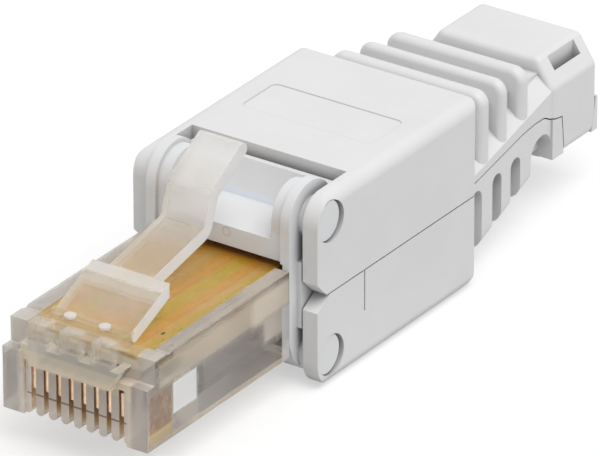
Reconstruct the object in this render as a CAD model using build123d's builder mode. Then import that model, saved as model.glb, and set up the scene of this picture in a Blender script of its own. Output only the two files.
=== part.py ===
from build123d import *
import os

# Field-fit eight-way ethernet plug: a clear plug nose with its latch and contacts, a circuit
# board with eight insulation-piercing terminals, and two hinged covers whose ribbed tails meet
# round the cable. Millimetres. X runs across the plug, Y along it with the nose towards -Y,
# Z up with the latch side on top. The origin is at the bottom centre of the whole part.
os.makedirs("parts", exist_ok=True)

# Plug nose, to the standard width and contact pitch
nose_width = 11.68
nose_base = 2.6  # underside of the nose above the underside of the housing
nose_height = 6.4
nose_lower_height = 4.6
nose_step = 0.95  # how far the upper part stands back from the lower one
nose_length = 16.4  # from its front face to the carrier
nose_rail = 1.0  # side walls beside the board
nose_floor = 0.8
tongue_length = 4.0  # what reaches into the carrier
tongue_inset = 0.6
contact_pitch = 1.016
contact_count = 8
contact_thickness = 0.30
contact_clearance = 0.04
comb_recess = 0.3
comb_length = 4.6
slot_height = 3.9
comb_margin = 0.1  # between the outer slots and the posts of the comb
blade_front = 0.45
blade_rear = 4.5
blade_bottom = 1.3  # above the underside of the nose
blade_top = 3.6
blade_chamfer = 0.6
tooth_round = 0.3  # of the lower ends of the comb's teeth
holder_length = 2.6
holder_clear = 0.1

# Latch
root_width = 6.6
root_height = 7.3  # top of the root above the underside of the nose
root_underside = 4.1
root_length = 2.3
lip_reach = 0.6  # how far the root stands ahead of the nose
lip_top = 5.6
lip_top_width = 8.0
lip_bottom_width = 6.4
root_recess_width = 1.1
root_recess_place = 1.3
root_recess_rear = 0.5
nib_radius = 0.42
nib_height = 0.2
nib_place = 1.4
nib_station = 1.55
latch_pivot_station = 2.6
latch_pivot_height = 6.85
latch_thickness = 1.0
latch_gap = 0.08
ear_station = 6.5
ear_height = 9.0
plate_width = 6.2
lever_width = 3.5
bend_station = 12.75
bend_height = 10.25
rise_station = 13.7
rise_height = 12.7
tip_station = 16.95
tip_height = 14.6
lever_round = 0.9

# Circuit board and terminals
board_thickness = 1.0
board_width = 9.3
board_front = 1.15
board_reach = 16.6  # how far the board runs on behind the nose
board_top = 6.25  # above the underside of the nose
fit_gap = 0.05
terminal_pitch = 2.3
terminal_width = 1.5
terminal_thickness = 0.35
terminal_stagger = 3.0
terminal_setback = 8.0  # of the front row, from the rear of the board
terminal_height = 3.6
terminal_slit = 0.34
terminal_block_height = 1.6
terminal_block_margin = 1.2
terminals_a_side = 4
point_share = 0.6  # how far out the points of a terminal stand, of its half width
shoulder_share = 0.85  # height of a terminal's shoulders, of its whole height
slit_share = 0.45  # height at which its slit starts

# Housing; the setbacks and reaches are measured from the rear of the nose
wall = 1.2
side_gap = 0.46  # between the nose and the arms on either side
housing_height = 14.1
seam_height = 6.9
roof = 1.1
arm_setback = 0.9
upper_arm_round = 1.9
lower_arm_round = 2.0
roof_setback = 6.1
rear_clear = 1.2  # between the rails of the carrier and the rear wall
housing_edge = 0.9
rear_edge = 0.5
rear_chamfer = 1.2
rear_wall = 1.2
upper_notch = 1.1
lower_notch_run = 1.5
lower_notch_drop = 0.9
pivot_setback = 2.53
upper_pivot_height = 12.2
lower_pivot_height = 2.2
pin_diameter = 2.9
pin_clearance = 0.05
pin_recess = 0.1
pin_crescent = 0.4
crescent_depth = 0.5
label_reach = 10.4  # front of the bare label place on the roof
label_length = 4.1
label_width = 10.6
label_corner = 0.5
label_depth = 0.05
line_reach = 6.5  # place of the fine upright line on the sides of the lower cover
line_width = 0.14
line_depth = 0.08
line_bottom = 3.85

# Carrier
carrier_top = 13.4
carrier_bottom = 0.9
carrier_round = 3.0
carrier_block_length = 5.6
rail_end = 1.2  # how far the rails run on behind the board
rail_margin = 1.2  # of the rails above and below the board
board_lip = 0.3  # how far the rails of the carrier hold the edges of the board
opening_rise = 0.4  # of the way for the nose above the nose's top
opening_depth = 1.2
scoop_width = 8.4
scoop_floor = 10.85
scoop_rise = 0.1
scoop_reach = 4.3
scoop_slope = 0.9
cheek_step = 0.3
cheek_band = 0.74
nub_bottom = 4.5
nub_top = 9.4
nub_length = 2.4
cover_gap = 0.1

# Tail; ribs, slots and seam are measured from the front of the end block
cable_radius = 2.75
cable_height = 7.2
neck_length = 12.6
neck_lap = 0.3  # how far the neck runs into the block
neck_front_width = 13.2
neck_end_width = 10.4
neck_front_top = 13.4
neck_end_top = 11.75
neck_front_bottom = 0.5
top_groove_depth = 1.7
groove_depth = 1.1
band_front = 7.25  # height at which the side grooves of the upper half run out, in front
band_end = 8.95  # the same at the end of the neck
band_margin = 0.07
run_out = 1.0
ribs = ((-10.3, -9.1), (-7.3, -6.35), (-4.4, -3.25))
rib_corner = 1.0
rib_crest = 0.45
lower_slots = ((-12.1, -10.3), (-8.75, -7.4), (-6.05, -4.6), (-3.05, 0.0))
lower_slot_top = 6.15
lower_corner = 1.3
seam_wave = ((-11.1, 6.9), (-4.2, 7.5), (-2.4, 7.5), (-1.0, 7.35), (-0.1, 6.85), (0.8, 6.67))
seam_round = 1.2
tail_seam = 6.57
block_length = 5.6
block_width = 10.9
block_top = 11.15
block_bottom = 3.7
block_top_width = 8.15
block_chamfer_drop = 2.05
block_corner = 0.6
block_edge = 0.4
window_width = 0.63
window_place = 4.515
window_floor = 8.6
window_front_margin = 1.1
window_rear_margin = 1.2
tongue_proud = 0.2
lower_neck_lap = 1.4
slot_end_share = 0.45  # how round a slot ends, of its width
tongue_half_width = 4.1
flange_half_width = 5.4
flange_top = 6.4
flange_depth = 0.9  # of the flange, which closes the rear of the block from below

# Wire pressers inside the covers
presser_count = 5
presser_width = 0.7
presser_margin = 0.6
block_clear = 0.3

# Derived places
housing_width = nose_width + 2 * (side_gap + wall)
arm_front = nose_length + arm_setback
pivot_station = nose_length + pivot_setback
roof_front = nose_length + roof_setback
scoop_back = nose_length + scoop_reach
board_rear = nose_length + board_reach
terminal_station = board_rear - terminal_setback
carrier_rear = board_rear + rail_end
housing_rear = carrier_rear + rear_clear + rear_wall
block_start = housing_rear + neck_length
neck_end = block_start + neck_lap
lower_neck_end = block_start + lower_neck_lap
block_end = block_start + block_length
tail_end = block_end + tongue_proud
flange_foot = tail_end - flange_depth
overall_length = lip_reach + tail_end
nose_front_y = lip_reach - overall_length / 2
nose_half = nose_width / 2
housing_half = housing_width / 2
inner_half = housing_half - wall
board_top_z = nose_base + board_top
board_bottom_z = board_top_z - board_thickness
slot_width = contact_thickness + 2 * contact_clearance
comb_half = contact_count * contact_pitch / 2 + comb_margin
half_gap = cover_gap / 2
pivot_y = nose_front_y + pivot_station
overlap = 1.0  # by which joined or cut solids reach into each other
far = 80.0  # longer than the part, for cuts that run right through


def along(station):
    """The Y place of a station measured from the front face of the nose."""
    return nose_front_y + station


def side_outline(points):
    """A closed outline seen from the side, from (station, height) points."""
    with BuildSketch(Plane.YZ) as outline:
        with BuildLine():
            Polyline([(along(s), z) for s, z in points], close=True)
        make_face()
    return outline.sketch


def across_plane(station):
    """A plane that stands across the plug, for sketches in X and Z."""
    return Plane.XZ.offset(-along(station))


latch_pivot_y = along(latch_pivot_station)
latch_pivot_z = nose_base + latch_pivot_height


def contact_place(index):
    return (index - (contact_count - 1) / 2) * contact_pitch


# Plug nose: a clear tray with the comb for the contacts in front and the board lying in its top
with BuildPart() as plug_nose:
    extrude(
        side_outline(
            [
                (0, nose_base),
                (nose_length, nose_base),
                (nose_length, nose_base + nose_height),
                (nose_step, nose_base + nose_height),
                (nose_step, nose_base + nose_lower_height),
                (0, nose_base + nose_lower_height),
            ]
        ),
        amount=nose_half,
        both=True,
    )
    # The tongue that the carrier holds
    extrude(
        side_outline(
            [
                (nose_length - overlap, nose_base + tongue_inset),
                (nose_length + tongue_length, nose_base + tongue_inset),
                (nose_length + tongue_length, nose_base + nose_height - tongue_inset),
                (nose_length - overlap, nose_base + nose_height - tongue_inset),
            ]
        ),
        amount=nose_half - tongue_inset,
        both=True,
    )
    # The root block of the latch
    extrude(
        side_outline(
            [
                (-lip_reach, nose_base + root_underside),
                (root_length, nose_base + root_underside),
                (root_length, nose_base + root_height),
                (-lip_reach, nose_base + root_height),
            ]
        ),
        amount=root_width / 2,
        both=True,
    )
    # The lip under the root, with slanted ends
    with BuildSketch(across_plane(-lip_reach)):
        with BuildLine():
            Polyline(
                (-lip_bottom_width / 2, nose_base + root_underside),
                (lip_bottom_width / 2, nose_base + root_underside),
                (lip_top_width / 2, nose_base + lip_top),
                (-lip_top_width / 2, nose_base + lip_top),
                close=True,
            )
        make_face()
    extrude(amount=-(lip_reach + nose_step + fit_gap))
    # Two recesses part the front of the root into three bars, and two nibs stand behind them
    with BuildSketch(Plane.XY.offset(nose_base + lip_top)):
        with Locations((0, along((root_recess_rear - far) / 2))):
            with GridLocations(2 * root_recess_place, 0, 2, 1):
                Rectangle(root_recess_width, root_recess_rear + far)
    extrude(amount=overlap + nose_height - lip_top, mode=Mode.SUBTRACT)
    with BuildSketch(Plane.XY.offset(nose_base + root_height - nib_height)):
        with Locations((0, along(nib_station))):
            with GridLocations(2 * nib_place, 0, 2, 1):
                Circle(nib_radius)
    extrude(amount=2 * nib_height)
    # The space behind the comb, open to the rear
    extrude(
        side_outline(
            [
                (comb_length, nose_base + nose_floor + tongue_inset),
                (far, nose_base + nose_floor + tongue_inset),
                (far, board_bottom_z),
                (comb_length, board_bottom_z),
            ]
        ),
        amount=nose_half - tongue_inset - nose_rail / 2,
        both=True,
        mode=Mode.SUBTRACT,
    )
    # The bed of the board, open above behind the latch root
    extrude(
        side_outline(
            [
                (board_front - fit_gap, board_bottom_z),
                (far, board_bottom_z),
                (far, board_top_z + fit_gap),
                (board_front - fit_gap, board_top_z + fit_gap),
            ]
        ),
        amount=board_width / 2 + fit_gap,
        both=True,
        mode=Mode.SUBTRACT,
    )
    extrude(
        side_outline(
            [
                (root_length + latch_gap, board_top_z),
                (far, board_top_z),
                (far, nose_base + nose_height + overlap),
                (root_length + latch_gap, nose_base + nose_height + overlap),
            ]
        ),
        amount=board_width / 2 + fit_gap,
        both=True,
        mode=Mode.SUBTRACT,
    )
    # The groove that the knuckle of the latch turns in
    with BuildSketch(Plane.YZ):
        with Locations((latch_pivot_y, latch_pivot_z)):
            Circle(latch_thickness / 2 + latch_gap)
    extrude(amount=root_width, both=True, mode=Mode.SUBTRACT)
    # The contact slots, open in front and below
    with BuildSketch(Plane.XY.offset(nose_base)):
        with Locations((0, along(comb_length / 2))):
            with GridLocations(contact_pitch, 0, contact_count, 1):
                Rectangle(slot_width, comb_length)
    extrude(amount=slot_height, mode=Mode.SUBTRACT)
    # The lower ends of the teeth between the slots are round
    with BuildSketch(across_plane(-overlap)):
        with Locations((0, nose_base + tooth_round / 2)):
            with GridLocations(contact_pitch, 0, contact_count, 1):
                Rectangle(slot_width + 2 * tooth_round, tooth_round)
        for side in (-1, 1):
            with Locations((side * (slot_width / 2 + tooth_round), nose_base + tooth_round)):
                with GridLocations(contact_pitch, 0, contact_count, 1):
                    Circle(tooth_round, mode=Mode.SUBTRACT)
    extrude(amount=-(overlap + comb_length), mode=Mode.SUBTRACT)
    # The front of the comb stands back between the two posts
    extrude(
        side_outline(
            [
                (-overlap, nose_base - overlap),
                (comb_recess, nose_base - overlap),
                (comb_recess, nose_base + root_underside),
                (-overlap, nose_base + root_underside),
            ]
        ),
        amount=comb_half,
        both=True,
        mode=Mode.SUBTRACT,
    )
plug_nose.part.label = "plug_nose"
export_step(plug_nose.part, "parts/plug_nose.step")

# Latch: a wide plate that rises to two ears, then a narrow lever that bends up in an S
knuckle_radius = latch_thickness / 2
with BuildPart() as latch:
    with BuildSketch(Plane.YZ):
        with BuildLine():
            FilletPolyline(
                (latch_pivot_y, latch_pivot_z),
                (along(ear_station), nose_base + ear_height - knuckle_radius),
                (along(bend_station), nose_base + bend_height - knuckle_radius),
                (along(rise_station), nose_base + rise_height - knuckle_radius),
                (along(tip_station), nose_base + tip_height - knuckle_radius),
                radius=lever_round,
            )
            offset(amount=knuckle_radius)
        make_face()
    extrude(amount=plate_width / 2, both=True)
    # Beyond the ears only the lever is left
    lever_cut = (plate_width - lever_width) / 2
    with BuildSketch(Plane.XY.offset(nose_base)):
        with Locations((0, along(ear_station + far / 2))):
            with GridLocations(lever_width + lever_cut, 0, 2, 1):
                Rectangle(lever_cut, far)
    extrude(amount=far, mode=Mode.SUBTRACT)
latch.part.label = "latch"
export_step(latch.part, "parts/latch.step")

# Circuit board, from behind the nose's front edge to the rear of the carrier
with BuildPart() as circuit_board:
    with BuildSketch(Plane.XY.offset(board_bottom_z)):
        with Locations((0, along((board_front + board_rear) / 2))):
            Rectangle(board_width, board_rear - board_front)
    extrude(amount=board_thickness)
circuit_board.part.label = "circuit_board"
export_step(circuit_board.part, "parts/circuit_board.step")

# Contact blades, each in its own slot of the comb
for index in range(contact_count):
    with BuildPart() as contact:
        with BuildSketch(Plane.YZ.offset(contact_place(index))):
            with BuildLine():
                Polyline(
                    (along(blade_front), nose_base + blade_bottom + blade_chamfer),
                    (along(blade_front + blade_chamfer), nose_base + blade_bottom),
                    (along(blade_rear), nose_base + blade_bottom),
                    (along(blade_rear), nose_base + blade_top),
                    (along(blade_front), nose_base + blade_top),
                    close=True,
                )
            make_face()
        extrude(amount=contact_thickness / 2, both=True)
    name = f"contact_{index + 1}"
    contact.part.label = name
    export_step(contact.part, f"parts/{name}.step")

# The white block behind the comb, which holds the rear ends of the contacts
holder_half = nose_half - tongue_inset - nose_rail / 2 - holder_clear
holder_floor = nose_base + nose_floor + tongue_inset
with BuildPart() as contact_holder:
    extrude(
        side_outline(
            [
                (comb_length + fit_gap, holder_floor),
                (comb_length + holder_length, holder_floor),
                (comb_length + holder_length, board_bottom_z - fit_gap),
                (comb_length + fit_gap, board_bottom_z - fit_gap),
            ]
        ),
        amount=holder_half,
        both=True,
    )
contact_holder.part.label = "contact_holder"
export_step(contact_holder.part, "parts/contact_holder.step")


def terminal_spot(index):
    """Across and along places of one of the four terminals of a side, staggered in two rows."""
    across = (index - (terminals_a_side - 1) / 2) * terminal_pitch
    return across, terminal_station + terminal_stagger * (index % 2)


def terminal_fork(foot, reach):
    """A forked blade that stands across the plug, from its foot to its points, up or down."""
    half = terminal_width / 2
    slit = terminal_slit / 2
    shoulder = foot + reach * shoulder_share
    with BuildSketch(Plane.XZ) as fork:
        with BuildLine():
            Polyline(
                (-half, foot),
                (-half, shoulder),
                (-half * point_share, foot + reach),
                (-slit, shoulder),
                (-slit, foot + reach * slit_share),
                (slit, foot + reach * slit_share),
                (slit, shoulder),
                (half * point_share, foot + reach),
                (half, shoulder),
                (half, foot),
                close=True,
            )
        make_face()
    return fork.sketch


# Terminals: four stand up from the board and four hang below it
for side, foot, direction in (("upper", board_top_z, 1), ("lower", board_bottom_z, -1)):
    for index in range(terminals_a_side):
        across, station = terminal_spot(index)
        with BuildPart() as terminal:
            fork = terminal_fork(foot, direction * terminal_height)
            placed = fork.moved(Location((across, along(station), 0)))
            extrude(placed, amount=terminal_thickness / 2, both=True)
        name = f"{side}_terminal_{index + 1}"
        terminal.part.label = name
        export_step(terminal.part, f"parts/{name}.step")

# Terminal blocks, which stand on either side of the board and hold the feet of the terminals
block_front = terminal_station - terminal_block_margin
block_rear = terminal_station + terminal_stagger + terminal_block_margin
for side, foot, direction in (("upper", board_top_z, 1), ("lower", board_bottom_z, -1)):
    with BuildPart() as terminal_block:
        with BuildSketch(Plane.XY.offset(foot)):
            with Locations((0, along((block_front + block_rear) / 2))):
                Rectangle(board_width - 2 * board_lip - 2 * fit_gap, block_rear - block_front)
            for index in range(terminals_a_side):
                across, station = terminal_spot(index)
                with Locations((across, along(station))):
                    Rectangle(
                        terminal_width + 2 * fit_gap,
                        terminal_thickness + 2 * fit_gap,
                        mode=Mode.SUBTRACT,
                    )
        extrude(amount=direction * terminal_block_height)
    name = f"{side}_terminal_block"
    terminal_block.part.label = name
    export_step(terminal_block.part, f"parts/{name}.step")


def carrier_outline(inset):
    """The side outline of the carrier's front block, round about the upper pivots and round below."""
    front = along(nose_length) + inset
    rear = along(nose_length + carrier_block_length)
    top = carrier_top - inset
    bottom = carrier_bottom + inset
    low_radius = carrier_round - inset
    ear_radius = pivot_setback - inset
    ear_run = (ear_radius**2 - (top - upper_pivot_height) ** 2) ** 0.5
    with BuildSketch() as outline:
        with BuildLine():
            Line((front, bottom + low_radius), (front, upper_pivot_height))
            ThreePointArc(
                (front, upper_pivot_height),
                (pivot_y, upper_pivot_height + ear_radius),
                (pivot_y + ear_run, top),
            )
            Line((pivot_y + ear_run, top), (rear, top))
            Line((rear, top), (rear, bottom))
            Line((rear, bottom), (front + low_radius, bottom))
            RadiusArc((front + low_radius, bottom), (front, bottom + low_radius), low_radius)
        make_face()
    return outline.sketch


def pin_relief(height):
    """The crescent that is cut from the outer end of a pivot, low and to the rear."""
    with BuildSketch(Plane.YZ) as relief:
        with Locations((along(pivot_station), height)):
            Circle(pin_diameter / 2 + pin_crescent)
        with Locations((along(pivot_station) - pin_crescent, height + pin_crescent / 2)):
            Circle(pin_diameter / 2, mode=Mode.SUBTRACT)
    return relief.sketch


# Carrier: the white body between the covers, with the scoop for the latch and the four pivots
with BuildPart() as carrier:
    block_end_station = nose_length + carrier_block_length
    with BuildSketch(Plane.YZ):
        add(carrier_outline(0))
    extrude(amount=nose_half, both=True)
    # The cheeks are stepped beside the scoop
    opening_top = nose_base + nose_height + opening_rise
    step_rear = nose_length + carrier_block_length - cheek_band
    with BuildSketch(Plane.YZ):
        with Locations((along(step_rear - far / 2), opening_top + far / 2)):
            Rectangle(far, far)
        add(carrier_outline(cheek_step), mode=Mode.SUBTRACT)
    extrude(amount=nose_half - cheek_band, both=True, mode=Mode.SUBTRACT)
    # Two rails run back beside the board
    extrude(
        side_outline(
            [
                (block_end_station - overlap, board_bottom_z - rail_margin),
                (carrier_rear, board_bottom_z - rail_margin),
                (carrier_rear, board_top_z + rail_margin),
                (block_end_station - overlap, board_top_z + rail_margin),
            ]
        ),
        amount=nose_half,
        both=True,
    )
    # Ribs that fill the gap to the arms at mid height
    extrude(
        side_outline(
            [
                (arm_front, nub_bottom),
                (arm_front + nub_length, nub_bottom),
                (arm_front + nub_length, nub_top),
                (arm_front, nub_top),
            ]
        ),
        amount=inner_half - cover_gap,
        both=True,
    )
    # The pivots
    for height in (lower_pivot_height, upper_pivot_height):
        with BuildSketch(Plane.YZ):
            with Locations((along(pivot_station), height)):
                Circle(pin_diameter / 2)
        extrude(amount=housing_half - pin_recess, both=True)
        for side in (-1, 1):
            end = pin_relief(height).moved(Location((side * housing_half, 0, 0)))
            extrude(end, amount=-side * (pin_recess + crescent_depth), mode=Mode.SUBTRACT)
    # The way for the tongue of the nose and for the board
    tongue_half = nose_half - tongue_inset + fit_gap
    extrude(
        side_outline(
            [
                (nose_length - overlap, nose_base + tongue_inset - fit_gap),
                (nose_length + tongue_length + fit_gap, nose_base + tongue_inset - fit_gap),
                (nose_length + tongue_length + fit_gap, nose_base + nose_height),
                (nose_length - overlap, nose_base + nose_height),
            ]
        ),
        amount=tongue_half,
        both=True,
        mode=Mode.SUBTRACT,
    )
    extrude(
        side_outline(
            [
                (nose_length - overlap, nose_base + nose_height - tongue_inset),
                (nose_length + opening_depth, nose_base + nose_height - tongue_inset),
                (nose_length + opening_depth, opening_top),
                (nose_length - overlap, opening_top),
            ]
        ),
        amount=tongue_half,
        both=True,
        mode=Mode.SUBTRACT,
    )
    extrude(
        side_outline(
            [
                (nose_length, board_bottom_z),
                (far, board_bottom_z),
                (far, board_top_z),
                (nose_length, board_top_z),
            ]
        ),
        amount=board_width / 2 + fit_gap,
        both=True,
        mode=Mode.SUBTRACT,
    )
    extrude(
        side_outline(
            [
                (block_end_station, board_bottom_z - 2 * rail_margin),
                (far, board_bottom_z - 2 * rail_margin),
                (far, board_top_z + 2 * rail_margin),
                (block_end_station, board_top_z + 2 * rail_margin),
            ]
        ),
        amount=board_width / 2 - board_lip,
        both=True,
        mode=Mode.SUBTRACT,
    )
    # The scoop that the pressed latch sinks into, and the stepped bands beside it
    scoop = side_outline(
        [
            (nose_length - overlap, scoop_floor),
            (nose_length, scoop_floor),
            (scoop_back, scoop_floor + scoop_rise),
            (scoop_back + scoop_slope, carrier_top),
            (scoop_back + scoop_slope, far),
            (nose_length - overlap, far),
        ]
    )
    extrude(scoop, amount=scoop_width / 2, both=True, mode=Mode.SUBTRACT)
carrier.part.label = "carrier"
export_step(carrier.part, "parts/carrier.step")

upper_seam = seam_height + half_gap
lower_seam = seam_height - half_gap
block_seam = tail_seam + half_gap
tongue_top = tail_seam - half_gap
cover_front_y = along(arm_front)
cover_rear_y = along(housing_rear)
lower_neck_reach = Vector(lower_neck_end - pivot_station, block_bottom - lower_pivot_height).length
block_rear_reach = Vector(flange_foot - pivot_station, upper_pivot_height - block_bottom).length
neck_root = housing_rear - rear_wall / 2  # the neck starts inside the rear wall


def tapered(front_value, end_value, station):
    """A size of the neck between its front at the housing and its end at the end block."""
    share = (station - housing_rear) / (neck_end - housing_rear)
    return front_value + (end_value - front_value) * share


def housing_block(low, high, rounded_end):
    """The housing's length of one cover, its two long outer edges rounded at the given end."""
    with BuildPart() as block:
        with BuildSketch(across_plane(arm_front)):
            with Locations((0, (low + high) / 2)):
                outline = Rectangle(housing_width, high - low)
            fillet(outline.vertices().group_by(Axis.Y)[rounded_end], housing_edge)
        extrude(amount=-(housing_rear - arm_front))
        with BuildSketch(Plane.XY):
            with Locations((0, (cover_front_y + cover_rear_y) / 2)):
                plan = Rectangle(housing_width, housing_rear - arm_front)
            fillet(plan.vertices().group_by(Axis.Y)[-1], rear_edge)
        extrude(amount=far, mode=Mode.INTERSECT)
    return block.part


def below_seam(shift):
    """All that lies below the wavy seam of the covers, seen from the side."""
    with BuildSketch() as region:
        with BuildLine():
            FilletPolyline(
                (cover_front_y - far, seam_height + shift),
                *[(along(block_start + s), z + shift) for s, z in seam_wave],
                (along(lower_neck_end), tail_seam + shift),
                (along(lower_neck_end) + far, tail_seam + shift),
                (along(lower_neck_end) + far, -far),
                (cover_front_y - far, -far),
                radius=seam_round,
                close=True,
            )
        make_face()
    return region.sketch


def rib(front, rear):
    """One rib of the upper half of the neck, with a fully rounded crest."""
    middle = (front + rear) / 2
    half = tapered(neck_front_width, neck_end_width, middle) / 2
    top = tapered(neck_front_top, neck_end_top, middle)
    bottom = lower_seam - overlap
    with BuildPart() as one_rib:
        with BuildSketch(across_plane(front)):
            with Locations((0, (top + bottom) / 2)):
                outline = Rectangle(2 * half, top - bottom)
            fillet(outline.vertices().group_by(Axis.Y)[-1], rib_corner)
        extrude(amount=-(rear - front))
        ends = one_rib.faces().sort_by(Axis.Y)
        fillet(ends[0].edges() + ends[-1].edges(), rib_crest)
    return one_rib.part


def upper_neck():
    """The upper half of the neck: a core that widens below into a band, and its ribs."""
    with BuildPart() as neck:
        for station, width, low, top in (
            (neck_root, neck_front_width, band_front, neck_front_top),
            (neck_end, neck_end_width, band_end, neck_end_top),
        ):
            outer = width / 2 + band_margin
            core = width / 2 - groove_depth
            core_top = top - top_groove_depth
            with BuildSketch(across_plane(station)):
                with BuildLine():
                    Polyline(
                        (-outer, lower_seam - overlap),
                        (-outer, low),
                        (-core, low + run_out),
                        (-core, core_top),
                        (core, core_top),
                        (core, low + run_out),
                        (outer, low),
                        (outer, lower_seam - overlap),
                        close=True,
                    )
                make_face()
        loft(ruled=True)
        for front, rear in ribs:
            add(rib(block_start + front, block_start + rear))
    return neck.part


def end_block():
    """The block that ends the tail, chamfered along its top, with a window in each chamfer."""
    with BuildPart() as block:
        with BuildSketch(across_plane(block_start)):
            with BuildLine():
                half = block_width / 2
                top_half = block_top_width / 2
                chamfer_z = block_top - block_chamfer_drop
                Polyline(
                    (-half, block_bottom),
                    (-half, chamfer_z),
                    (-top_half, block_top),
                    (top_half, block_top),
                    (half, chamfer_z),
                    (half, block_bottom),
                    close=True,
                )
            outline = make_face()
            fillet(outline.vertices(), block_corner)
        extrude(amount=-(block_end - block_start))
        ends = block.faces().sort_by(Axis.Y)
        fillet(ends[0].edges() + ends[-1].edges(), block_edge)
        window_front = block_start + window_front_margin
        window_rear = block_end - window_rear_margin
        with BuildSketch(Plane.XY.offset(window_floor)):
            with Locations((0, along((window_front + window_rear) / 2))):
                with GridLocations(2 * window_place, 0, 2, 1):
                    Rectangle(window_width, window_rear - window_front)
        extrude(amount=far, mode=Mode.SUBTRACT)
    return block.part


def behind_block(reach, top):
    """The space behind an arc about the upper pivots, where the flange closes the end block."""
    with BuildSketch() as region:
        with Locations((along(flange_foot - overlap), block_bottom - overlap)):
            Rectangle(far, top - block_bottom + overlap, align=(Align.MIN, Align.MIN))
        with Locations((pivot_y, upper_pivot_height)):
            Circle(reach, mode=Mode.SUBTRACT)
    return region.sketch


def lower_neck():
    """The lower half of the neck with its slots, cut back to an arc about its own pivot."""
    with BuildPart() as neck:
        for station, width, bottom, top in (
            (neck_root, neck_front_width, neck_front_bottom, neck_front_top),
            (neck_end, neck_end_width, block_bottom, neck_end_top),
        ):
            with BuildSketch(across_plane(station)):
                with Locations((0, (bottom + top) / 2)):
                    RectangleRounded(width + 2 * band_margin, top - bottom, lower_corner)
        loft()
        for front, rear in lower_slots:
            station = block_start + (front + rear) / 2
            width = rear - front
            core_half = tapered(neck_front_width, neck_end_width, station) / 2 - groove_depth
            core_bottom = tapered(neck_front_bottom, block_bottom, station) + groove_depth
            slot = slot_outline(station, width, -far, lower_slot_top)
            extrude(slot.moved(Location((core_half, 0, 0))), amount=far, mode=Mode.SUBTRACT)
            extrude(slot.moved(Location((-core_half, 0, 0))), amount=-far, mode=Mode.SUBTRACT)
            with BuildSketch(Plane.XY.offset(core_bottom)):
                with Locations((0, along(station))):
                    Rectangle(far, width)
            extrude(amount=-far, mode=Mode.SUBTRACT)
        with BuildSketch(across_plane(block_start)):
            with Locations((0, (block_bottom + upper_seam) / 2)):
                Rectangle(block_width, upper_seam - block_bottom)
        extrude(amount=-(lower_neck_end - block_start))
        with BuildSketch(Plane.YZ):
            add(below_seam(-half_gap))
            with Locations((pivot_y, lower_pivot_height)):
                Circle(lower_neck_reach, mode=Mode.INTERSECT)
        extrude(amount=far, both=True, mode=Mode.INTERSECT)
    return neck.part


def slot_outline(station, width, low, high):
    """A slot of the neck seen from the side, with round ends."""
    with BuildSketch(Plane.YZ) as slot:
        with Locations((along(station), (low + high) / 2)):
            RectangleRounded(width, high - low, width * slot_end_share)
    return slot.sketch


def pin_hole():
    """The hole of an arm for its pivot."""
    with BuildSketch(Plane.YZ) as hole:
        Circle(pin_diameter / 2 + pin_clearance)
    return hole.sketch


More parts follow.
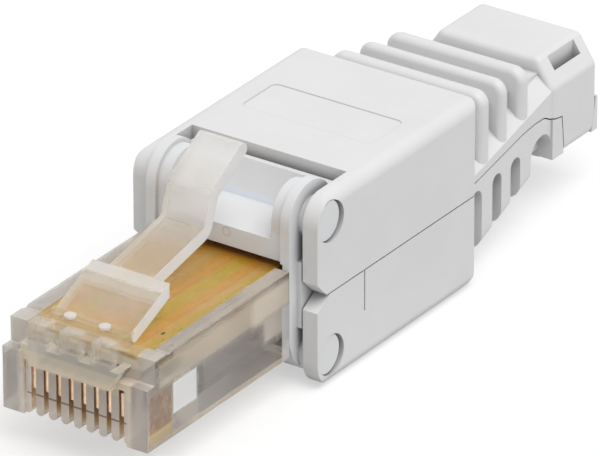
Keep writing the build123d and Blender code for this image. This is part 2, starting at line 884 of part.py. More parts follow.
# Upper cover: roof and arms, wire pressers, and the upper half of the tail with the end block
with BuildPart() as upper_cover:
    add(housing_block(upper_seam, housing_height, -1))
    with BuildSketch(Plane.YZ):
        with BuildLine():
            Line(
                (cover_front_y, upper_seam + upper_notch),
                (cover_front_y, housing_height - upper_arm_round),
            )
            RadiusArc(
                (cover_front_y, housing_height - upper_arm_round),
                (cover_front_y + upper_arm_round, housing_height),
                upper_arm_round,
            )
            Line((cover_front_y + upper_arm_round, housing_height), (cover_rear_y, housing_height))
            Line((cover_rear_y, housing_height), (cover_rear_y, upper_seam))
            Line((cover_rear_y, upper_seam), (cover_front_y + upper_notch, upper_seam))
            Line((cover_front_y + upper_notch, upper_seam), (cover_front_y, upper_seam + upper_notch))
        make_face()
    extrude(amount=housing_half, both=True, mode=Mode.INTERSECT)
    # The neck and the end block
    add(upper_neck())
    add(end_block())
    # What belongs to the lower cover: all below the seam but the sides of the end block
    with BuildSketch(Plane.YZ):
        add(below_seam(half_gap))
        with Locations((pivot_y, lower_pivot_height)):
            Circle(lower_neck_reach + cover_gap, mode=Mode.INTERSECT)
    extrude(amount=far, both=True, mode=Mode.SUBTRACT)
    extrude(
        side_outline(
            [
                (block_start - overlap, 0),
                (far, 0),
                (far, block_seam),
                (block_start - overlap, block_seam),
            ]
        ),
        amount=tongue_half_width + cover_gap,
        both=True,
        mode=Mode.SUBTRACT,
    )
    with BuildSketch(Plane.YZ):
        add(behind_block(block_rear_reach, flange_top + cover_gap))
    extrude(amount=far, both=True, mode=Mode.SUBTRACT)
    # The way for the cable
    with BuildSketch(across_plane(housing_rear - rear_wall - overlap)):
        with Locations((0, cable_height)):
            Circle(cable_radius)
    extrude(amount=-far, mode=Mode.SUBTRACT)
    # The room for the wires and the carrier
    ceiling = housing_height - roof
    extrude(
        side_outline(
            [
                (arm_front - overlap, 0),
                (housing_rear - rear_wall, 0),
                (housing_rear - rear_wall, ceiling),
                (arm_front - overlap, ceiling),
            ]
        ),
        amount=inner_half,
        both=True,
        mode=Mode.SUBTRACT,
    )
    extrude(
        side_outline(
            [
                (arm_front - overlap, 0),
                (roof_front, 0),
                (roof_front, far),
                (arm_front - overlap, far),
            ]
        ),
        amount=inner_half,
        both=True,
        mode=Mode.SUBTRACT,
    )
    # A bare label place, sunk a little into the roof
    with BuildSketch(Plane.XY.offset(housing_height - label_depth)):
        with Locations((0, along(nose_length + label_reach + label_length / 2))):
            RectangleRounded(label_width, label_length, label_corner)
    extrude(amount=far, mode=Mode.SUBTRACT)
    # Pressers between the terminals push the wires home
    presser_tip = board_top_z + terminal_block_height + block_clear
    with BuildSketch(Plane.XY.offset(presser_tip)):
        with Locations((0, along((block_front + block_rear) / 2))):
            with GridLocations(terminal_pitch, 0, presser_count, 1):
                Rectangle(presser_width, block_rear - block_front - 2 * presser_margin)
    extrude(amount=ceiling - presser_tip)
    # Holes for the pivots
    extrude(
        pin_hole().moved(Location((0, pivot_y, upper_pivot_height))),
        amount=far,
        both=True,
        mode=Mode.SUBTRACT,
    )
upper_cover.part.label = "upper_cover"
export_step(upper_cover.part, "parts/upper_cover.step")

# Lower cover: floor and arms, wire pressers, and the lower half of the tail with its tongue
with BuildPart() as lower_cover:
    add(housing_block(0, lower_seam, 0))
    with BuildSketch(Plane.YZ):
        with BuildLine():
            Line((cover_front_y, lower_arm_round), (cover_front_y, lower_seam - lower_notch_drop))
            Line(
                (cover_front_y, lower_seam - lower_notch_drop),
                (cover_front_y + lower_notch_run, lower_seam),
            )
            Line((cover_front_y + lower_notch_run, lower_seam), (cover_rear_y, lower_seam))
            Line((cover_rear_y, lower_seam), (cover_rear_y, rear_chamfer))
            Line((cover_rear_y, rear_chamfer), (cover_rear_y - rear_chamfer, 0))
            Line((cover_rear_y - rear_chamfer, 0), (cover_front_y + lower_arm_round, 0))
            RadiusArc(
                (cover_front_y + lower_arm_round, 0),
                (cover_front_y, lower_arm_round),
                lower_arm_round,
            )
        make_face()
    extrude(amount=housing_half, both=True, mode=Mode.INTERSECT)
    add(lower_neck())
    # The tongue that closes the end block from below, and its flange behind the block
    extrude(
        side_outline(
            [
                (block_start, block_bottom + cover_gap),
                (tail_end, block_bottom + cover_gap),
                (tail_end, tongue_top),
                (block_start, tongue_top),
            ]
        ),
        amount=tongue_half_width,
        both=True,
    )
    with BuildSketch(Plane.YZ):
        add(behind_block(block_rear_reach + cover_gap, flange_top))
        with Locations((along(flange_foot - overlap), block_bottom + cover_gap)):
            Rectangle(
                tail_end - flange_foot + overlap,
                flange_top - block_bottom - cover_gap,
                align=(Align.MIN, Align.MIN),
                mode=Mode.INTERSECT,
            )
    extrude(amount=flange_half_width, both=True)
    # The way for the cable
    with BuildSketch(across_plane(housing_rear - rear_wall - overlap)):
        with Locations((0, cable_height)):
            Circle(cable_radius)
    extrude(amount=-far, mode=Mode.SUBTRACT)
    # The room for the wires and the carrier
    extrude(
        side_outline(
            [
                (arm_front - overlap, roof),
                (housing_rear - rear_wall, roof),
                (housing_rear - rear_wall, far),
                (arm_front - overlap, far),
            ]
        ),
        amount=inner_half,
        both=True,
        mode=Mode.SUBTRACT,
    )
    extrude(
        side_outline(
            [
                (arm_front - overlap, 0),
                (roof_front, 0),
                (roof_front, far),
                (arm_front - overlap, far),
            ]
        ),
        amount=inner_half,
        both=True,
        mode=Mode.SUBTRACT,
    )
    # A fine upright line on either side
    with BuildSketch(Plane.XY.offset(line_bottom)):
        with Locations((0, along(nose_length + line_reach))):
            with GridLocations(housing_width, 0, 2, 1):
                Rectangle(2 * line_depth, line_width)
    extrude(amount=far, mode=Mode.SUBTRACT)
    # Pressers between the terminals push the wires home
    presser_tip = board_bottom_z - terminal_block_height - block_clear
    with BuildSketch(Plane.XY.offset(roof)):
        with Locations((0, along((block_front + block_rear) / 2))):
            with GridLocations(terminal_pitch, 0, presser_count, 1):
                Rectangle(presser_width, block_rear - block_front - 2 * presser_margin)
    extrude(amount=presser_tip - roof)
    # Holes for the pivots
    extrude(
        pin_hole().moved(Location((0, pivot_y, lower_pivot_height))),
        amount=far,
        both=True,
        mode=Mode.SUBTRACT,
    )
lower_cover.part.label = "lower_cover"
export_step(lower_cover.part, "parts/lower_cover.step")
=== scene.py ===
import math

import bpy
from mathutils import Matrix, Vector

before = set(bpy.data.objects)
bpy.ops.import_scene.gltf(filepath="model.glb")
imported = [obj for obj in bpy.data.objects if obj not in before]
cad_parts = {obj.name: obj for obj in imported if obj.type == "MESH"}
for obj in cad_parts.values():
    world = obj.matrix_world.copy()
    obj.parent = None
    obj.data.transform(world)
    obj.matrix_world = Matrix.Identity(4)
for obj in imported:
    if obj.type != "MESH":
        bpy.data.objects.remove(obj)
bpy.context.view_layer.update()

MM = 0.001

# Camera, as fitted to the photograph
CAMERA_PLACE = (0.31007, -0.45202, 0.28459)
CAMERA_AZIMUTH = math.radians(34.510)
CAMERA_ELEVATION = math.radians(26.933)
CAMERA_ROLL = math.radians(-0.117)
CAMERA_LENS = 543.65
CAMERA_CLIP = (0.01, 100.0)
SENSOR_WIDTH = 36.0

# Surroundings
WHITE = (1.0, 1.0, 1.0)
WORLD_LIGHT = 0.50  # strength of the light that the world gives
WORLD_SEEN = 1.0  # strength with which it shows as a backdrop
FLOOR_HALF = 3.0
FLOOR_DROP = 0.00005
FLOOR_COLOR = (0.55, 0.55, 0.55)
FLOOR_LIFT = 0.52  # what the floor gives off where it shows as a backdrop
KEY_SOURCE = (0.42, -0.12, 0.90)  # direction that the light comes from
KEY_STRENGTH = 1.60
KEY_ANGLE = math.radians(50)

# Places on the part, in millimetres. Stations count from the front of the nose towards the
# cable, heights from the surface that the plug rests on.
NOSE_FRONT = -27.2  # Y of the front of the nose
AHEAD = -1.0  # a station ahead of the nose, for zones that take in its front
LATCH_BAR = 6.1  # station of the bar across the latch, just ahead of its two ears
ROOT_TOP = 9.9  # height of the top of the latch's root; only the two nibs stand above it
BLADE_FOOT = 4.12  # height of the thin line where the blades end between the teeth
BLADE_LINE = 0.05  # half the height of that line
ROOF_TOP = 14.03  # height of the upper cover's roof

# The carrier's front face above the board, and a ring of painted shade on it round a small round
# moulding mark
FRONT_HEIGHTS = (9.0, 11.2)
FRONT_HALF = 5.0
FRONT_SOFT = (0.3, 0.5)  # up and across
FRONT_COOL = (0.82, 0.88, 0.97)  # makes up for the light that the amber board throws on it
RING_PLACE = (0.56, 10.41)  # X and height
RING_RADII = (0.27, 0.35)
RING_SOFT = 0.04
RING_SHADE = (0.50, 0.50, 0.50)
RING_STRENGTH = 0.4

# A thin line of painted shade round the edge of the bare label place on the roof
LABEL_HALF = (5.3, 2.05)  # across and along
LABEL_ROUND = 0.5
LABEL_STATION = 28.85
LABEL_LINE = 0.05  # half the width of the line
LABEL_SHADE = (0.60, 0.60, 0.60)
LABEL_STRENGTH = 0.28
LABEL_REACH = (0.4, 0.2)  # below the roof, where the line begins and where it is full

# Painted shade in creases: how far the darkening reaches in metres, how dark it gets and where it
# begins and ends
CREASE_REACH = 0.0015
CREASE_SHADE_LEVEL = 0.48
CREASE_STOPS = (0.15, 0.80)
CREASE_SAMPLES = 8

# Parts of the object's own normal between which a face begins to count as a side or a front
SIDE_EDGE = (0.55, 0.9)
FRONT_EDGE = (-0.5, -0.9)

# Scales of the noise patterns; the larger the scale, the finer the pattern
MOULD_CLOUDS, MOULD_GLOSS, MOULD_GRAIN = 160.0, 420.0, 5000.0
CLEAR_CLOUDS, CLEAR_HAZE, CLEAR_FLOW, CLEAR_WAVES = 300.0, 350.0, 420.0, 500.0
CLEAR_PATCHES = 1400.0
METAL_CLOUDS, METAL_GLOSS, METAL_GRAIN = 900.0, 1500.0, 2500.0
BOARD_WANDER, BOARD_GLOSS, BOARD_WEAVE = 120.0, 500.0, 2600.0
CLOUD_STOPS = (0.3, 0.7)  # between which a pattern goes from its low to its high end
PATCH_EDGE = (0.42, 0.58)

# Strength and depth in metres of each relief
MOULD_RELIEF = (0.12, 0.00002)
CLEAR_RELIEF = (0.12, 0.00003)
METAL_RELIEF = (0.2, 0.00001)
BOARD_RELIEF = (0.25, 0.00002)

# Low and high end of the colours and of the roughness
COVER_COLORS = ((0.80, 0.80, 0.80), (0.84, 0.84, 0.84))
CARRIER_COLORS = ((0.80, 0.805, 0.815), (0.84, 0.845, 0.855))
INNER_COLORS = ((0.84, 0.84, 0.82), (0.88, 0.88, 0.86))
GOLD_COLORS = ((0.70, 0.44, 0.25), (0.96, 0.72, 0.52))
TIN_COLORS = ((0.70, 0.70, 0.68), (0.80, 0.80, 0.78))
COVER_ROUGH = (0.38, 0.5)
INNER_ROUGH = (0.35, 0.45)
GOLD_ROUGH = (0.22, 0.4)
TIN_ROUGH = (0.25, 0.4)
BOARD_ROUGH = (0.22, 0.36)
NOSE_ROUGH = (0.10, 0.22)
LATCH_ROUGH = (0.12, 0.24)
MOULD_IOR = 1.5
CLEAR_IOR = 1.45

# Clear plastic: clouding, and how its flow marks change the clearness (share, least)
CLEAR_SHADE = (0.93, 1.0)
FLOW_DRIFT = (0.12, 0.94)

# Tints of the clear plastic
SMOKE = (0.74, 0.69, 0.63)
HAZE = (0.97, 0.86, 0.76)
AMBER = (0.93, 0.80, 0.62)
MILK = (0.97, 0.96, 0.94)
COPPER = (0.43, 0.245, 0.12)

# The board: colours, and where they lie across it in millimetres
BOARD_OLIVE = (0.535, 0.355, 0.042)
BOARD_ORANGE = (0.61, 0.325, 0.050)
BOARD_AMBER = (0.60, 0.37, 0.110)
BOARD_LINE = (0.62, 0.25, 0.075)
BOARD_SHADE = (0.34, 0.13, 0.006)
BOARD_MARK = (0.06, 0.03, 0.02)
BOARD_BANDS = (
    (-4.65, BOARD_OLIVE), (-4.2, BOARD_AMBER), (-3.5, BOARD_LINE), (-3.4, BOARD_ORANGE),
    (-2.7, BOARD_ORANGE), (-2.5, BOARD_OLIVE), (-1.4, BOARD_OLIVE), (-1.3, BOARD_LINE),
    (-1.1, BOARD_ORANGE), (-0.2, BOARD_AMBER), (0.4, BOARD_ORANGE), (1.15, BOARD_ORANGE),
    (1.35, BOARD_LINE), (1.5, BOARD_OLIVE), (2.5, BOARD_OLIVE), (2.75, BOARD_ORANGE),
    (3.35, BOARD_ORANGE), (3.5, BOARD_LINE), (3.62, BOARD_AMBER), (4.5, BOARD_OLIVE),
)
BOARD_HALF = 5.0
WANDER = 0.5  # how far the bands stray sideways
WEAVE_COLORS = ((0.62, 0.60, 0.55), WHITE)
WEAVE_STRENGTH = 0.35
FRONT_STATIONS = (2.8, 1.6)  # where the olive strip at the front begins and is full
FRONT_STRENGTH = 0.8
SHADE_STATIONS = (13.5, 17.0)  # where the dark end by the carrier begins and is full
SHADE_POWER = 3.0
MARK_PLACE = (3.8, 4.74)  # X and station of the small dark mark
MARK_SIZE = (0.11, 0.22)
MARK_EDGE = (1.3, 0.6)


def feed(tree, socket, value):
    """Give a socket its value: another socket, a number or a colour."""
    if isinstance(value, tuple):
        socket.default_value = (*value, 1.0)
    elif isinstance(value, (int, float)):
        socket.default_value = value
    else:
        tree.links.new(value, socket)


def math_node(tree, operation, *values):
    """A math node; each value is a socket or a number."""
    node = tree.nodes.new("ShaderNodeMath")
    node.operation = operation
    for place, value in enumerate(values):
        feed(tree, node.inputs[place], value)
    return node.outputs[0]


def product(tree, first, *others):
    """The product of two or more values."""
    for other in others:
        first = math_node(tree, "MULTIPLY", first, other)
    return first


def sum_of_squares(tree, first, second):
    return math_node(tree, "ADD", product(tree, first, first), product(tree, second, second))


# Camera, backdrop, floor and light

def make_camera():
    data = bpy.data.cameras.new("camera")
    data.lens = CAMERA_LENS
    data.sensor_width = SENSOR_WIDTH
    data.clip_start, data.clip_end = CAMERA_CLIP
    back = Vector((
        math.sin(CAMERA_AZIMUTH) * math.cos(CAMERA_ELEVATION),
        -math.cos(CAMERA_AZIMUTH) * math.cos(CAMERA_ELEVATION),
        math.sin(CAMERA_ELEVATION),
    ))
    right = Vector((math.cos(CAMERA_AZIMUTH), math.sin(CAMERA_AZIMUTH), 0.0))
    up = back.cross(right)
    rolled_right = right * math.cos(CAMERA_ROLL) + up * math.sin(CAMERA_ROLL)
    rolled_up = up * math.cos(CAMERA_ROLL) - right * math.sin(CAMERA_ROLL)
    camera = bpy.data.objects.new("camera", data)
    turn = Matrix((rolled_right, rolled_up, back)).transposed().to_4x4()
    camera.matrix_world = Matrix.Translation(Vector(CAMERA_PLACE)) @ turn
    bpy.context.scene.collection.objects.link(camera)
    bpy.context.scene.camera = camera


def seen_rays(tree):
    """1 for camera, glossy and transmission rays, so that the backdrop shows in them."""
    path = tree.nodes.new("ShaderNodeLightPath").outputs
    seen = math_node(tree, "MAXIMUM", path["Is Camera Ray"], path["Is Glossy Ray"])
    return math_node(tree, "MAXIMUM", seen, path["Is Transmission Ray"])


def background(tree, strength):
    node = tree.nodes.new("ShaderNodeBackground")
    feed(tree, node.inputs["Color"], WHITE)
    feed(tree, node.inputs["Strength"], strength)
    return node.outputs[0]


def make_world():
    world = bpy.data.worlds.new("world")
    world.use_nodes = True
    bpy.context.scene.world = world
    tree = world.node_tree
    tree.nodes.clear()
    out = tree.nodes.new("ShaderNodeOutputWorld")
    mix = tree.nodes.new("ShaderNodeMixShader")
    sources = seen_rays(tree), background(tree, WORLD_LIGHT), background(tree, WORLD_SEEN)
    for socket, source in zip(mix.inputs, sources):
        tree.links.new(source, socket)
    tree.links.new(mix.outputs[0], out.inputs[0])


def make_floor():
    mesh = bpy.data.meshes.new("floor")
    h, z = FLOOR_HALF, -FLOOR_DROP
    mesh.from_pydata([(-h, -h, z), (h, -h, z), (h, h, z), (-h, h, z)], [], [(0, 1, 2, 3)])
    floor = bpy.data.objects.new("floor", mesh)
    bpy.context.scene.collection.objects.link(floor)
    material = bpy.data.materials.new("floor")
    material.use_nodes = True
    tree = material.node_tree
    tree.nodes.clear()
    out = tree.nodes.new("ShaderNodeOutputMaterial")
    add = tree.nodes.new("ShaderNodeAddShader")
    diffuse = tree.nodes.new("ShaderNodeBsdfDiffuse")
    feed(tree, diffuse.inputs["Color"], FLOOR_COLOR)
    lift = tree.nodes.new("ShaderNodeEmission")
    feed(tree, lift.inputs["Strength"], product(tree, seen_rays(tree), FLOOR_LIFT))
    tree.links.new(diffuse.outputs[0], add.inputs[0])
    tree.links.new(lift.outputs[0], add.inputs[1])
    tree.links.new(add.outputs[0], out.inputs[0])
    mesh.materials.append(material)


def make_light():
    data = bpy.data.lights.new("key", "SUN")
    data.energy = KEY_STRENGTH
    data.angle = KEY_ANGLE
    lamp = bpy.data.objects.new("key", data)
    lamp.matrix_world = Vector(KEY_SOURCE).to_track_quat("Z", "Y").to_matrix().to_4x4()
    bpy.context.scene.collection.objects.link(lamp)


# Patterns and blends

def ramp(tree, source, stops):
    """A colour ramp fed by source; stops are (place, colour or level of grey)."""
    node = tree.nodes.new("ShaderNodeValToRGB")
    elements = node.color_ramp.elements
    while len(elements) < len(stops):
        elements.new(0.5)
    for element, (place, color) in zip(elements, stops):
        element.position = place
        element.color = (*(color if isinstance(color, tuple) else (color,) * 3), 1.0)
    tree.links.new(source, node.inputs["Fac"])
    return node.outputs["Color"]


def clouded(tree, pattern, low, high):
    """From low to high with a noise pattern; each is a colour or a level of grey."""
    return ramp(tree, pattern, tuple(zip(CLOUD_STOPS, (low, high))))


def noise(tree, scale, detail=3.0, roughness=0.55, stretch=(1, 1, 1)):
    where = tree.nodes.new("ShaderNodeTexCoord")
    mapping = tree.nodes.new("ShaderNodeMapping")
    mapping.inputs["Scale"].default_value = stretch
    node = tree.nodes.new("ShaderNodeTexNoise")
    feed(tree, node.inputs["Scale"], scale)
    feed(tree, node.inputs["Detail"], detail)
    feed(tree, node.inputs["Roughness"], roughness)
    tree.links.new(where.outputs["Object"], mapping.inputs["Vector"])
    tree.links.new(mapping.outputs["Vector"], node.inputs["Vector"])
    return node.outputs["Fac"]


def mix_node(tree, kind, factor, first, second):
    """A mix node's output; each input is a socket, a number or a colour."""
    node = tree.nodes.new("ShaderNodeMix")
    node.data_type = kind
    for name, value in (("Factor", factor), ("A", first), ("B", second)):
        feed(tree, next(s for s in node.inputs if s.name == name and s.enabled), value)
    return next(s for s in node.outputs if s.enabled)


def blend_colors(tree, factor, first, second, mode="MIX"):
    """first where the factor is 0; second, or first by second, where it is 1."""
    output = mix_node(tree, "RGBA", factor, first, second)
    output.node.blend_type = mode
    return output


def blend_values(tree, factor, first, second):
    """first where the factor is 0, second where it is 1."""
    return mix_node(tree, "FLOAT", factor, first, second)


def spread(tree, value, low, high):
    """A value brought from low..high to 0..1, clamped."""
    node = tree.nodes.new("ShaderNodeMapRange")
    tree.links.new(value, node.inputs["Value"])
    feed(tree, node.inputs["From Min"], low)
    feed(tree, node.inputs["From Max"], high)
    return node.outputs["Result"]


def window(tree, value, low, high, soft):
    """1 between two places in millimetres, with a soft step outside each."""
    rise = spread(tree, value, (low - soft) * MM, low * MM)
    fall = spread(tree, value, (high + soft) * MM, high * MM)
    return product(tree, rise, fall)


def parts_of(tree, output):
    """The three parts of the object's own coordinates or normal."""
    where = tree.nodes.new("ShaderNodeTexCoord")
    split = tree.nodes.new("ShaderNodeSeparateXYZ")
    tree.links.new(where.outputs[output], split.inputs[0])
    return split.outputs


def sideways(tree):
    """1 on faces that look sideways, 0 on those that look along or up."""
    across = parts_of(tree, "Normal")["X"]
    return spread(tree, math_node(tree, "ABSOLUTE", across), *SIDE_EDGE)


def forward(tree):
    """1 on faces that look forward, along -Y."""
    return spread(tree, parts_of(tree, "Normal")["Y"], *FRONT_EDGE)


def creases(tree):
    """Painted shade: darker in grooves, slots and seams, where less light reaches."""
    node = tree.nodes.new("ShaderNodeAmbientOcclusion")
    node.samples = CREASE_SAMPLES
    feed(tree, node.inputs["Distance"], CREASE_REACH)
    return ramp(tree, node.outputs["AO"], tuple(zip(CREASE_STOPS, (CREASE_SHADE_LEVEL, 1.0))))


# Zones: each of these gives a function of the tree that makes a mask; lengths in millimetres

def by_station(stations, soft):
    """A mask between two stations."""
    low, high = (NOSE_FRONT + station for station in stations)
    return lambda tree: window(tree, parts_of(tree, "Object")["Y"], low, high, soft)


def by_height(heights, soft):
    """A mask between two heights."""
    return lambda tree: window(tree, parts_of(tree, "Object")["Z"], *heights, soft)


def in_box(half, stations, heights, soft):
    """A mask within half a width either way, between two stations and two heights."""
    along, upward = by_station(stations, soft), by_height(heights, soft)

    def mask_of(tree):
        across = window(tree, parts_of(tree, "Object")["X"], -half, half, soft)
        return product(tree, along(tree), upward(tree), across)
    return mask_of


def on_sides(stations, heights, soft, patchy=0.0):
    """A mask on faces that look sideways, between two stations and two heights."""
    along, upward = by_station(stations, soft), by_height(heights, soft)

    def mask_of(tree):
        mask = product(tree, along(tree), upward(tree), sideways(tree))
        if patchy:
            patches = spread(tree, noise(tree, CLEAR_PATCHES, 3.0, 0.6), *PATCH_EDGE)
            patches = math_node(tree, "MULTIPLY_ADD", patches, patchy, 1.0 - patchy)
            mask = product(tree, mask, patches)
        return mask
    return mask_of


# Each zone: its mask, then its tint, milkiness and cover. Later zones lie over earlier ones.
NOSE_BASE = (SMOKE, 0.30, 0.80)
NOSE_ZONES = (
    # the front end, the rear end (paler, as painted light against the carrier's shadow) and the
    # front ends of the side walls
    (by_station((AHEAD, 3.2), 1.2), SMOKE, 0.45, 0.82),
    (by_station((14.2, 17.0), 3.0), HAZE, 0.55, 0.86),
    (in_box(6.2, (0.8, 2.6), (6.4, 9.6), 0.2), (0.85, 0.78, 0.71), 0.58, 0.87),
    # the comb, and the lip's face
    (in_box(4.4, (AHEAD, 2.4), (2.0, 8.3), 0.3), HAZE, 0.66, 0.86),
    (in_box(4.4, (AHEAD, 0.4), (6.1, 8.3), 0.2), (1.0, 0.87, 0.68), 0.74, 0.88),
    # the latch's root, and the three bars at its front
    (in_box(4.2, (AHEAD, 3.0), (8.5, 11.0), 0.3), (0.93, 0.84, 0.62), 0.13, 0.46),
    (in_box(3.4, (AHEAD, 0.45), (8.6, 9.95), 0.25), (0.97, 0.92, 0.86), 0.42, 0.66),
    # the lip's top, and a painted highlight along its lower edge
    (in_box(4.4, (AHEAD, 1.2), (7.9, 8.6), 0.15), (0.97, 0.90, 0.78), 0.62, 0.84),
    (in_box(4.1, (AHEAD, -0.1), (6.1, 6.38), 0.05), MILK, 0.90, 0.95),
    # the line where the blades end
    (in_box(4.05, (-0.1, 0.9), (BLADE_FOOT - BLADE_LINE, BLADE_FOOT + BLADE_LINE), 0.04),
     COPPER, 0.55, 0.92),
    # the side walls, their foot at the front, and painted shade where the dark room inside them
    # shows through
    (on_sides((0.3, 16.6), (2.6, 9.0), 0.2), SMOKE, 0.18, 0.50),
    (on_sides((0.3, 6.0), (2.6, 4.2), 0.3), (0.90, 0.79, 0.68), 0.33, 0.70),
    (on_sides((5.9, 15.4), (3.1, 6.3), 0.2), (0.50, 0.48, 0.45), 0.12, 0.82),
    # the band beside the board's edge, paler at its rear as painted light against the carrier's
    # shadow
    (on_sides((1.5, 16.2), (6.9, 8.3), 0.4), AMBER, 0.45, 0.84),
    (on_sides((12.5, 16.2), (6.9, 8.3), 0.8), (1.0, 0.89, 0.73), 0.66, 0.90),
    # the lower edge, and the rear by the carrier: paler as painted light against its shadow, then
    # whitest at the end as a painted highlight
    (on_sides((2.9, 16.6), (2.5, 2.95), 0.12), AMBER, 0.45, 0.85),
    (on_sides((13.6, 15.6), (5.1, 6.5), 0.5), HAZE, 0.48, 0.85),
    (on_sides((15.6, 17.0), (2.5, 6.6), 0.15), MILK, 0.62, 0.90),
    # what shows through the wall: the white block, and the blades with their amber foot
    (on_sides((3.0, 5.55), (4.35, 6.5), 0.2), (1.0, 1.0, 0.99), 0.90, 0.95),
    (on_sides((0.4, 2.65), (3.1, 3.9), 0.3), (0.80, 0.57, 0.27), 0.50, 0.88),
    (on_sides((0.4, 2.65), (3.9, 6.4), 0.25, 0.3), COPPER, 0.60, 0.93),
    # the two nibs
    (by_height((ROOT_TOP + 0.03, ROOT_TOP + 1.0), 0.03), MILK, 0.70, 0.90),
)
LATCH_BASE = ((0.99, 0.94, 0.84), 0.18, 0.54)
LATCH_ZONES = (
    # the thin front end, the bar, the lever in two steps, and the edges, whiter on sideways faces
    # as painted light that the plastic carries out to them
    (by_station((1.0, 3.6), 0.8), (0.95, 0.84, 0.58), 0.10, 0.44),
    (by_station((LATCH_BAR - 0.4, LATCH_BAR + 0.35), 0.3), MILK, 0.62, 0.88),
    (by_station((12.0, 20.0), 2.5), (0.99, 0.95, 0.89), 0.36, 0.70),
    (by_station((15.5, 20.0), 2.4), (1.0, 0.985, 0.97), 0.66, 0.84),
    (sideways, (0.985, 0.98, 0.97), 0.92, 0.96),
)


# Materials

def new_material(name):
    material = bpy.data.materials.new(name)
    material.use_nodes = True
    tree = material.node_tree
    return material, tree, tree.nodes["Principled BSDF"]


def join(tree, shader, color, gloss, pattern, relief):
    """Join colour, roughness and a relief made from a pattern to the shader."""
    tree.links.new(color, shader.inputs["Base Color"])
    tree.links.new(gloss, shader.inputs["Roughness"])
    node = tree.nodes.new("ShaderNodeBump")
    node.inputs["Strength"].default_value, node.inputs["Distance"].default_value = relief
    tree.links.new(pattern, node.inputs["Height"])
    tree.links.new(node.outputs["Normal"], shader.inputs["Normal"])


def moulded_plastic(name, colors, rough, details=None):
    """Moulded satin plastic: slight clouding, painted shade in creases, uneven gloss and a fine
    grain.
    """
    material, tree, shader = new_material(name)
    color = clouded(tree, noise(tree, MOULD_CLOUDS), *colors)
    if details:
        color = details(tree, color)
    # painted shade in grooves, slots and seams, multiplied into the colour
    color = blend_colors(tree, 1.0, color, creases(tree), "MULTIPLY")
    gloss = clouded(tree, noise(tree, MOULD_GLOSS), *rough)
    join(tree, shader, color, gloss, noise(tree, MOULD_GRAIN, 2.0), MOULD_RELIEF)
    shader.inputs["IOR"].default_value = MOULD_IOR
    return material


def clear_plastic(name, base, zones, rough):
    """Polycarbonate with flow marks: its tint, milkiness and cover change from zone to zone."""
    material, tree, shader = new_material(name)
    color, cloudy, cover = base
    for mask_of, zone_tint, zone_milk, zone_cover in zones:
        mask = mask_of(tree)
        color = blend_colors(tree, mask, color, zone_tint)
        cloudy = blend_values(tree, mask, cloudy, zone_milk)
        cover = blend_values(tree, mask, cover, zone_cover)
    clouds = clouded(tree, noise(tree, CLEAR_CLOUDS), *CLEAR_SHADE)
    color = blend_colors(tree, 1.0, color, clouds, "MULTIPLY")
    flow = noise(tree, CLEAR_FLOW, 2.0, 0.5, (1, 0.4, 1))
    drift = math_node(tree, "MULTIPLY_ADD", flow, *FLOW_DRIFT)
    clear = math_node(tree, "SUBTRACT", drift, cloudy)
    clear.node.use_clamp = True
    tree.links.new(clear, shader.inputs["Transmission Weight"])
    tree.links.new(cover, shader.inputs["Alpha"])
    haze = clouded(tree, noise(tree, CLEAR_HAZE, 2.0), *rough)
    waves = noise(tree, CLEAR_WAVES, 2.0, 0.5, (1, 0.25, 1))
    join(tree, shader, color, haze, waves, CLEAR_RELIEF)
    shader.inputs["IOR"].default_value = CLEAR_IOR
    return material


def metal(name, colors, rough):
    """Plated bronze with uneven gloss and fine marks from stamping."""
    material, tree, shader = new_material(name)
    color = clouded(tree, noise(tree, METAL_CLOUDS), *colors)
    gloss = clouded(tree, noise(tree, METAL_GLOSS), *rough)
    join(tree, shader, color, gloss, noise(tree, METAL_GRAIN, 2.0, 0.5, (1, 1, 0.2)), METAL_RELIEF)
    shader.inputs["Metallic"].default_value = 1.0
    return material


def board_material():
    """Amber tracks that run lengthwise under a glossy coat, darker towards the carrier."""
    material, tree, shader = new_material("board")
    x, y, _ = parts_of(tree, "Object")
    stray = noise(tree, BOARD_WANDER, 2.0, 0.5, (1, 0.5, 1))
    stray = math_node(tree, "MULTIPLY_ADD", stray, WANDER * MM, -WANDER / 2 * MM)
    place = spread(tree, math_node(tree, "ADD", x, stray), -BOARD_HALF * MM, BOARD_HALF * MM)
    stops = [((at + BOARD_HALF) / (2 * BOARD_HALF), color) for at, color in BOARD_BANDS]
    color = ramp(tree, place, stops)
    weave = noise(tree, BOARD_WEAVE, 3.0, 0.6, (1, 0.35, 1))
    threads = clouded(tree, weave, *WEAVE_COLORS)
    color = blend_colors(tree, WEAVE_STRENGTH, color, threads, "MULTIPLY")
    front = spread(tree, y, *((NOSE_FRONT + station) * MM for station in FRONT_STATIONS))
    color = blend_colors(tree, product(tree, front, FRONT_STRENGTH), color, BOARD_OLIVE)
    shade = spread(tree, y, *((NOSE_FRONT + station) * MM for station in SHADE_STATIONS))
    shade = math_node(tree, "POWER", shade, SHADE_POWER)
    color = blend_colors(tree, shade, color, BOARD_SHADE)
    middle = (MARK_PLACE[0], NOSE_FRONT + MARK_PLACE[1])
    off = [
        math_node(tree, "DIVIDE", math_node(tree, "SUBTRACT", value, centre * MM), size * MM)
        for value, centre, size in zip((x, y), middle, MARK_SIZE)
    ]
    mark = spread(tree, sum_of_squares(tree, *off), *MARK_EDGE)
    color = blend_colors(tree, mark, color, BOARD_MARK)
    gloss = clouded(tree, noise(tree, BOARD_GLOSS), *BOARD_ROUGH)
    join(tree, shader, color, gloss, weave, BOARD_RELIEF)
    return material


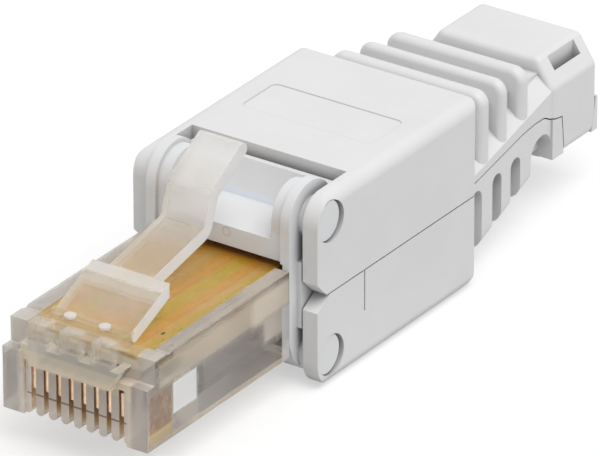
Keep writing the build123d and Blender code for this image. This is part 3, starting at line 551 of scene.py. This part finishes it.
def carrier_details(tree, color):
    """A cooler front above the board, and a ring of painted shade round the mark of an ejector pin
    on it.
    """
    x, _, z = parts_of(tree, "Object")
    front = forward(tree)
    upward = window(tree, z, *FRONT_HEIGHTS, FRONT_SOFT[0])
    across = window(tree, x, -FRONT_HALF, FRONT_HALF, FRONT_SOFT[1])
    color = blend_colors(tree, product(tree, front, upward, across), color, FRONT_COOL)
    off = [
        math_node(tree, "SUBTRACT", value, centre * MM)
        for value, centre in zip((x, z), RING_PLACE)
    ]
    reach = math_node(tree, "SQRT", sum_of_squares(tree, *off))
    ring = window(tree, reach, *RING_RADII, RING_SOFT)
    # the ring of painted shade, on the front face only
    return blend_colors(tree, product(tree, ring, front, RING_STRENGTH), color, RING_SHADE)


def painted_label_shade(tree, color):
    """A thin line of painted shade round the edge of the bare label place on the roof."""
    x, y, z = parts_of(tree, "Object")
    middle = math_node(tree, "SUBTRACT", y, (NOSE_FRONT + LABEL_STATION) * MM)
    past = []
    for off, half in zip((x, middle), LABEL_HALF):
        far = math_node(tree, "ABSOLUTE", off)
        far = math_node(tree, "SUBTRACT", far, (half - LABEL_ROUND) * MM)
        past.append(math_node(tree, "MAXIMUM", far, 0.0))
    reach = math_node(tree, "SQRT", sum_of_squares(tree, *past))
    line = window(tree, reach, LABEL_ROUND - LABEL_LINE, LABEL_ROUND + LABEL_LINE, LABEL_LINE)
    roof = spread(tree, z, *((ROOF_TOP - depth) * MM for depth in LABEL_REACH))
    # the line of painted shade, near the roof's height only
    return blend_colors(tree, product(tree, line, roof, LABEL_STRENGTH), color, LABEL_SHADE)


def dress(names, material):
    """Give the named pieces one material."""
    for name in names:
        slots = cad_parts[name].data.materials
        slots.clear()
        slots.append(material)


make_camera()
make_world()
make_floor()
make_light()

dress(["lower_cover"], moulded_plastic("white_plastic", COVER_COLORS, COVER_ROUGH))
dress(["contact_holder", "upper_terminal_block", "lower_terminal_block"],
      moulded_plastic("inner_plastic", INNER_COLORS, INNER_ROUGH))
dress(["plug_nose"], clear_plastic("nose_plastic", NOSE_BASE, NOSE_ZONES, NOSE_ROUGH))
dress(["latch"], clear_plastic("latch_plastic", LATCH_BASE, LATCH_ZONES, LATCH_ROUGH))
dress(["carrier"],
      moulded_plastic("carrier_plastic", CARRIER_COLORS, COVER_ROUGH, carrier_details))
dress(["upper_cover"],
      moulded_plastic("upper_plastic", COVER_COLORS, COVER_ROUGH, painted_label_shade))
dress(["circuit_board"], board_material())
dress([f"contact_{place}" for place in range(1, 9)],
      metal("contact_metal", GOLD_COLORS, GOLD_ROUGH))
dress([f"{side}_terminal_{place}" for side in ("upper", "lower") for place in range(1, 5)],
      metal("terminal_metal", TIN_COLORS, TIN_ROUGH))

bpy.context.scene.view_settings.view_transform = "Standard"
